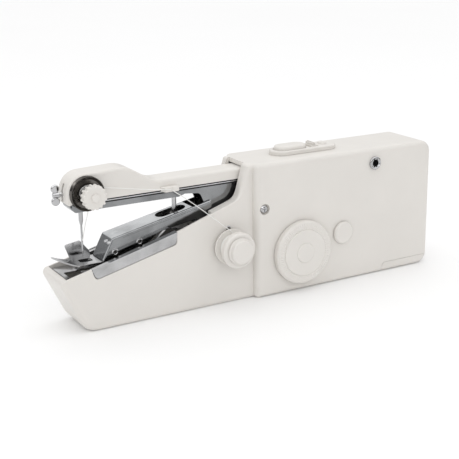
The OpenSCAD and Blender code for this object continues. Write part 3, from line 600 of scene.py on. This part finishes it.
# ---- Cells ----
wraps, caps = [], []
for side in (-1, 1):
    for z in (9.1, 23.4):
        x0, x1 = (106.5, 56.6) if side < 0 else (56.6, 106.5)
        w = 1 if x1 > x0 else -1
        wraps.append(lathe((side * 7.15, z), [
            (0, x0 + w * 0.4, 0), (6.4, x0 + w * 0.4, 0), (7.05, x0 + w * 0.2, 0.4),
            (7.05, x1 - w * 1.2, 0.4), (6.2, x1 - w * 1.2, 0), (0, x1 - w * 1.3, 0)
        ], "x", 48))
        caps.append(lathe((side * 7.15, z), [
            (0, x1 - w * 1.25, 0), (6, x1 - w * 1.25, 0.1), (6, x1 - w * 1.0, 0.1),
            (2.8, x1 - w * 1.0, 0.2), (2.75, x1, 0.3), (0, x1, 0)
        ], "x", 40))
        caps.append(lathe((side * 7.15, z), [
            (0, x0, 0), (5.4, x0, 0.15), (5.6, x0 + w * 0.39, 0), (0, x0 + w * 0.39, 0)
        ], "x", 40))
piece(make("cell_wraps", *wraps), "cell_wrap", "root", "battery_cells")
piece(make("cell_ends", *caps), "bright_steel", "root")

# ---- Needle arm ----
cover_outline = [
    (-91.8, 58.6, 1, 2.6), (-91.8, 72.6, 9, 1.3), (-63, 73.6, 14, 1.3), (-49, 65.2, 10, 1.2),
    (6, 65.2, 0.5, 0), (6, 60.1, 0, 0.15), (-88, 60.1, 0, 0.3)
]
inside = [
    (-90.4, 57, 0, 0), (-90.4, 71, 8, 0), (-63.6, 72.2, 13, 0), (-49.6, 63.9, 10, 0), (7, 63.9, 0, 0),
    (7, 57, 0, 0)
]
cover = make("arm_hood", loft(cover_outline, -6.2, 6.2))
cut(cover, loft(inside, -5.05, 5.05, ends=(0, 0)))
cut(cover, box(-93, -89, -0.9, 0.9, 57, 68.4, 0.85, axes="yz"), lathe((-83, 64.2), [
    (0, -10, 0), (1.5, -10, 0), (1.5, 0, 0), (0, 0, 0)], segs=32))
piece(cover, "white_plastic", "arm", "arm_cover", bevel=0.12)
for way in (-1, 1):
    near = way < 0
    # Painted shadow: a black strip along the gap between the hood and the steel channel stands in for the
    # shade there
    shadow_band = sorted((way * 5.02, way * 5.3))
    rail = sorted((way * 5.2, way * 5.85))
    piece(make("arm_shadow_strip_" + "ab"[near], box(-80, 5.5, *shadow_band, 58.2, 60.4, 0.1, axes="xz")),
          "black_rubber", "arm")
    piece(make("arm_rail_" + "ab"[near], box(-79.5, 5, *rail, 58.95, 59.5, 0.15, 0.12, axes="xz")),
          "bright_steel", "arm")
piece(from_cad("arm_channel", "needle_arm"), "pressed_steel", "arm", "needle_arm", bevel=0.22,
      look="side_shaded_steel")
piece(from_cad("clamp_block", "needle_clamp"), "pressed_steel", "arm", "needle_clamp", bevel=0.3,
      look="side_shaded_steel")

NEEDLE_X = -83.6
needle = make("needle_blade", lathe((NEEDLE_X, 0), [
    (0, 70, 0), (1, 70, 0.2), (1, 50, 0.2), (0.46, 47.6, 1), (0.44, 42, 1), (0.42, 38.5, 1),
    (0.38, 35.6, 1), (0.05, 32.05, 0.05), (0, 32, 0)
], "z", 32))
cut(needle, box(NEEDLE_X - 0.16, NEEDLE_X + 0.16, -1, 1, 39.6, 41.2, 0.15, axes="xz"))
cut(needle, box(NEEDLE_X - 0.09, NEEDLE_X + 0.09, -1, -0.3, 41, 48.2))
piece(needle, "bright_steel", "arm", "needle")

CLAMP_Z = 63.4
parts = [lathe((0, CLAMP_Z), [
    (0, -96.3, 0), (1.2, -96.3, 0.5), (1.35, -93.4, 0.2), (1.0, -93.2, 0), (1.0, -91.6, 0),
    (0.8, -91.4, 0), (0.8, -84.7, 0), (0, -84.7, 0)
], "x", 40)]
for side in (-1, 1):
    wing = lathe((-95, CLAMP_Z + side * 2.9),
                 [(0, -0.75, 0), (1.95, -0.75, 0.6), (1.95, 0.75, 0.6), (0, 0.75, 0)], "y", 40)
    parts.append(wing)
piece(make("wing_screw", *parts), "bright_steel", "clamp_screw_body", "clamp_screw")

# ---- Thread tension ----
TENSION = (-83, 64.2)
piece(make("stud", lathe(TENSION, [
    (0, -17.3, 0), (0.95, -17.3, 0.3), (0.98, -4.9, 0), (2, -4.9, 0.15), (2, -4.11, 0), (0, -4.11, 0)
], segs=32)), "bright_steel", "arm", "tension_stud")
piece(make("disc_in", lathe(TENSION, [
    (1.15, -6.95, 0), (4.6, -6.95, 0.2), (5.0, -6.75, 0.2), (6.6, -6.75, 0.6), (7.85, -6.2, 0.2),
    (8, -6.45, 0.2), (6.7, -7.1, 0.6), (5.1, -7.1, 0.2), (4.7, -7.3, 0.2), (1.15, -7.3, 0)
], segs=96)), "bright_steel", "arm", "inner_disc", look="dark_steel")
piece(make("disc_out", lathe(TENSION, [
    (1.15, -8.15, 0), (4.6, -8.15, 0.2), (5.0, -8.35, 0.2), (6.6, -8.35, 0.6), (7.85, -8.9, 0.2),
    (8, -8.65, 0.2), (6.7, -8.0, 0.6), (5.1, -8.0, 0.2), (4.7, -7.8, 0.2), (1.15, -7.8, 0)
], segs=96)), "bright_steel", "arm", "outer_disc", look="dark_steel")
piece(make("cone_spring", coil(TENSION, -13, -8.4, 2.3, 4.1, 4.5, 0.3)), "spring_steel", "arm",
      "tension_spring")
teeth = 16
star = []
for i in range(teeth):
    for part, radius, rr in ((0, 5.75, 0.35), (0.32, 5.75, 0.35), (0.5, 5.1, 0.3), (0.82, 5.1, 0.3)):
        a = 2 * math.pi * (i + part) / teeth + 0.1
        star.append((TENSION[0] + radius * math.cos(a), TENSION[1] + radius * math.sin(a), rr, 0.35))
dial = make("dial_star", loft(star, -16.9, -13.3, fine=30, rings=3))
add(dial, lathe(TENSION, [(0, -18.15, 0), (1.9, -18.15, 0.5), (1.95, -16, 0), (0, -16, 0)], segs=40))
cut(dial, lathe(TENSION, [(0, -17.4, 0), (1.05, -17.4, 0), (1.05, -12, 0), (0, -12, 0)], segs=24))
piece(dial, "white_plastic", "dial", "tension_dial")
guide = make("guide_hook", loft([
    (-46.4, -6.21, 0.3, 0.35), (-45.2, -9.5, 0.8, 0.35), (-38, -9.5, 0.6, 0.35), (-38, -6.21, 0, 0.35)
], 59.5, 61.8, "xy"))
cut(guide, box(-42.6, -41.3, -10, -9.1, 59, 63))
piece(guide, "white_plastic", "arm", "thread_guide", bevel=0.1)

# ---- Push pin ----
PUSH = (-36.4, 0)
piece(make("pusher", lathe(PUSH, [
    (0, 39.6, 0), (1.1, 39.6, 0.5), (1.1, 60, 0), (2.2, 60, 0.1), (2.2, 60.95, 0.1), (1.1, 61, 0),
    (1.1, 62.2, 0.2), (0, 62.2, 0)
], "z", 40)), "pressed_steel", "arm", "push_pin")
spring = make("pusher_spring", coil(PUSH, 40.2, 47, 2, 2, 5, 0.28, "z"))
piece(spring, "spring_steel", "arm", "push_pin_spring")
spring = make("lift_spring", coil((-48, 2.2), 1.4, 22.6, 2.6, 2.6, 7, 0.33, "z"))
piece(spring, "spring_steel", "root", "looper_spring")
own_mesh(spring)

# ---- Presser lever and foot ----
lever_outline = [
    (-76.4, 31.2, 0.2, 0.15), (-75.6, 29.8, 0.5, 0.15), (-65.5, 31.2, 2, 0.15), (-57.5, 33.2, 2, 0.15),
    (-47.5, 40.2, 2, 0.15), (-27, 43.6, 1, 0.15), (-25.2, 39, 2.9, 0.15), (-18.8, 39, 2.9, 0.15),
    (-19.6, 51.6, 0.3, 0.85), (-71.2, 40.9, 1.2, 0.85)
]
lever = make("lever_pressing", loft(lever_outline, -6.2, 6.2))
cut(lever, loft([
    (-14, 52, 0, 0), (-70.6, 40.1, 0.6, 0), (-75.8, 30.3, 0, 0), (-75.8, 20, 0, 0), (-14, 20, 0, 0)
], -5.4, 5.4, ends=(0, 0)))
h = 3.8
cut(lever, loft([
    (-46.2, -h, 3.7, 0), (-31, -h, 3.7, 0), (-31, h, 3.7, 0), (-46.2, h, 3.7, 0)
], 42, 56, "xy", (0, 0)))
cut(lever, box(-29.5, -14.5, -5.35, 5.35, 40, 60))
for c, radius in (((-22, 39), 1.55), ((-57.8, 37.2), 0.85), ((-70.2, 34.2), 0.85)):
    cut(lever, lathe(c, [(0, -10, 0), (radius, -10, 0), (radius, 10, 0), (0, 10, 0)], segs=32))
slope = 0.2074
for way in (-1, 1):
    # A shallow groove under the folded edge of the top
    x0, x1, depth = -66, -24, sorted((way * 6.08, way * 7))
    marks = ((x0, 1.5), (x1, 1.5), (x1, 1.15), (x0, 1.15))
    groove = [(x, 51.6 + slope * (x + 19.6) - d, 0, 0) for x, d in marks]
    cut(lever, loft(groove, *depth, ends=(0, 0)))
piece(lever, "pressed_steel", "foot", "presser_lever", bevel=0.12, look="side_shaded_steel")
eyelets = []
for c in ((-57.8, 37.2), (-70.2, 34.2)):
    for way in (-1, 1):
        eyelets.append(lathe(c, [
            (0.84, way * 5.3, 0), (0.84, way * 6.3, 0.1), (1.1, way * 6.42, 0.1), (1.75, way * 6.3, 0.1),
            (1.8, way * 6.15, 0), (0.95, way * 6.15, 0), (0.95, way * 5.3, 0)
        ], segs=40))
for y in (-1.8, -4.9):
    eyelets.append(lathe((y, 38.6), [(0, -73.6, 0), (0.8, -73.4, 0.5), (0.95, -71.6, 0), (0, -71.6, 0)],
                         "x", 24))
piece(make("lever_eyelets", *eyelets), "bright_steel", "foot")

SOLE = 29.8
foot = make("foot_plate", loft([(-88.2, -6.2, 0.6, 0.12), (-75.9, -6.2, 0.6, 0.12), (-75.9, 6.2, 0.6, 0.12),
                                (-88.2, 6.2, 0.6, 0.12)], SOLE, SOLE + 0.95, "xy"))
cut(foot, loft([(-85.6, -2.3, 1.2, 0), (-79.4, -2.3, 1.2, 0), (-79.4, 2.3, 1.2, 0), (-85.6, 2.3, 1.2, 0)],
               28, 34, "xy", (0, 0)))
add(foot, loft([
    (-87.4, 30, 0, 0.15), (-77.4, 30, 0, 0.15), (-77.9, 33, 0.5, 0.15), (-82.4, 38.6, 0.8, 0.15),
    (-90, 37.4, 1, 0.15)
], 6.0, 6.8))


def bent_toe():
    """The front toe: a thin tapering sheet that curls up from the sole."""
    points, n, thick = [], 10, 0.8
    for i in range(n + 1):
        t = i / n
        x = -87.6 - 10.4 * t
        z = SOLE + 0.05 + 4.0 * t ** 1.35
        near, far = -6.1 + 7.3 * t, 5.7 - 3.2 * t
        top = z + thick * (1 - 0.3 * t)
        points += [(x, near, z), (x, far, z), (x, far, top), (x, near, top)]
    faces = [(4 * i + k, 4 * i + (k + 1) % 4, 4 * i + 4 + (k + 1) % 4, 4 * i + 4 + k)
             for i in range(n) for k in range(4)]
    return points, faces + [(0, 1, 2, 3), (4 * n, 4 * n + 1, 4 * n + 2, 4 * n + 3)]


add(foot, bent_toe())
piece(foot, "pressed_steel", "foot", "presser_foot", bevel=0.1)
piece(from_cad("stitch_plate", "needle_plate"), "pressed_steel", "root", "needle_plate", bevel=0.14)
piece(from_cad("looper_arm", "looper_lever"), "pressed_steel", "looper", "looper_lever", bevel=0.2)

# ---- Bobbin ----
SPOOL = (-13.4, 29.3)
piece(make("spindle", lathe(SPOOL, [
    (0, -24.8, 0), (1.58, -24.8, 0.4), (1.58, -9, 0), (0, -9, 0)
], segs=40)), "bright_steel", "root", "spool_pin")
piece(make("spindle_spring", coil(SPOOL, -13.5, -12.35, 3, 4.4, 2.5, 0.24)), "spring_steel", "root",
      "spool_spring")
piece(make("bobbin_core", lathe(SPOOL, [
    (1.8, -13.6, 0), (8.8, -13.6, 0.3), (8.8, -14.5, 0.3), (3.4, -14.8, 0.2), (3.4, -19.8, 0.2),
    (8.8, -19.75, 0.3), (8.8, -22.1, 0.5), (7.9, -22.8, 0.4), (1.8, -22.8, 0)
], segs=112)), "white_plastic", "bobbin_body", "bobbin")
winding = []
for i in range(30):
    winding.append((6.42 if i % 2 else 6.24, -14.9 - 4.8 * i / 29, 0))
piece(make("bobbin_winding", lathe(SPOOL, [(3.4, -14.9, 0), *winding, (3.4, -19.7, 0)], segs=64)),
      "white_thread", "bobbin_body", "bobbin_thread", angle=80)
piece(make("bobbin_cap", lathe(SPOOL, [
    (0, -25.88, 0), (5.5, -25.85, 0.35), (5.75, -25.4, 0.3), (5.9, -24.1, 0.2), (6.6, -23.85, 0.3),
    (6.6, -23.1, 0.15), (1.65, -23.1, 0), (1.65, -25, 0), (0, -25, 0)
], segs=96)), "white_plastic", "cap", "spool_cap")
EYELET = (-13.8, 38)
piece(make("eyelet_ring", lathe(EYELET, [
    (0.55, -9, 0), (0.55, -12.7, 0.25), (1.4, -12.68, 0.2), (1.4, -12.31, 0), (1, -12.31, 0), (1, -10, 0)
], segs=40)), "bright_steel", "root", "thread_eyelet")

# ---- Thread ----
route = [
    (-13.4, -17.2, 35.9), (-14.4, -17, 37.4), (-16, -16.6, 39), (-19, -16, 41.4), (-22, -15, 44.1),
    (-26, -13.7, 47.6), (-30, -12.4, 51.1), (-34, -11.2, 54.4), (-38, -10.2, 57.5), (-40.5, -9.9, 59.3),
    (-41.9, -9.95, 60.6)
]
run = make("thread_strands", *plied(route, 0.2))
piece(run, "white_thread", "root", "thread_run", angle=80, ride=False)
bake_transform(run)
needle_route = [
    (-42.5, -9.95, 60.8), (-46.5, -9.9, 61.3), (-52, -9.3, 62), (-60, -8.4, 63.2), (-68, -7.8, 64.6),
    (-76, -7.55, 66), (-79.5, -7.55, 66.2), (-82, -7.55, 62.9), (-82.6, -7.55, 60.8), (-82.8, -7.5, 57.5),
    (-82.9, -7.1, 55.4), (-83.1, -4.9, 51), (-83.4, -2.3, 45), (-83.55, -0.95, 41.6), (-83.6, -0.65, 40.6)
]
piece(make("needle_strands", *plied(needle_route, 0.2)), "white_thread", "arm", "needle_thread", angle=80)

# ---- Studio ----
FAR = 3000
ground = make("floor", ([(-FAR, -FAR, 0), (FAR, -FAR, 0), (FAR, FAR, 0), (-FAR, FAR, 0)], [(0, 1, 2, 3)]))
floor = Shader("floor", (0.93, 0.93, 0.93), 0, 0.7)
floor.color(floor.noise(3, 2), (0.3, (0.95, 0.95, 0.95)), (0.7, (0.96, 0.96, 0.96)))
ground.data.materials.append(floor.m)

world = bpy.data.worlds.new("world")
scene.world = world
world.use_nodes = True
t = world.node_tree
sky = t.nodes["Background"]
coord = t.nodes.new("ShaderNodeTexCoord")
split = t.nodes.new("ShaderNodeSeparateXYZ")
height = t.nodes.new("ShaderNodeValToRGB")
t.links.new(coord.outputs["Generated"], split.inputs["Vector"])
t.links.new(split.outputs["Z"], height.inputs["Fac"])
# The camera sees white, and the reflections see the dark horizon
path = t.nodes.new("ShaderNodeLightPath")
seen = t.nodes.new("ShaderNodeMix")
seen.data_type = "RGBA"
t.links.new(path.outputs["Is Camera Ray"], seen.inputs["Factor"])
t.links.new(height.outputs["Color"], seen.inputs[MIX_A])
seen.inputs[MIX_B].default_value = (1, 1, 1, 1)
t.links.new(seen.outputs[MIX_RESULT], sky.inputs["Color"])
ramp = height.color_ramp
ramp.elements[0].position, ramp.elements[0].color = 0.10, (0.16, 0.16, 0.165, 1)
ramp.elements[1].position, ramp.elements[1].color = 0.34, (1.08, 1.08, 1.08, 1)
sky.inputs["Strength"].default_value = 1.0


def lamp(name, place, target, width, depth, power):
    l = bpy.data.objects.new(name, bpy.data.lights.new(name, "AREA"))
    l.data.shape, l.data.size, l.data.size_y, l.data.energy = "RECTANGLE", width, depth, power
    l.location = place
    l.rotation_euler = (Vector(target) - Vector(place)).to_track_quat("-Z", "Y").to_euler()
    scene.collection.objects.link(l)


lamp("key", (-0.45, -0.75, 0.55), (0, 0, 0.03), 0.35, 0.5, 0.8)
lamp("top", (0.1, 0.1, 0.9), (0, 0, 0), 0.7, 0.5, 0.45)
scene.view_settings.view_transform = "Standard"
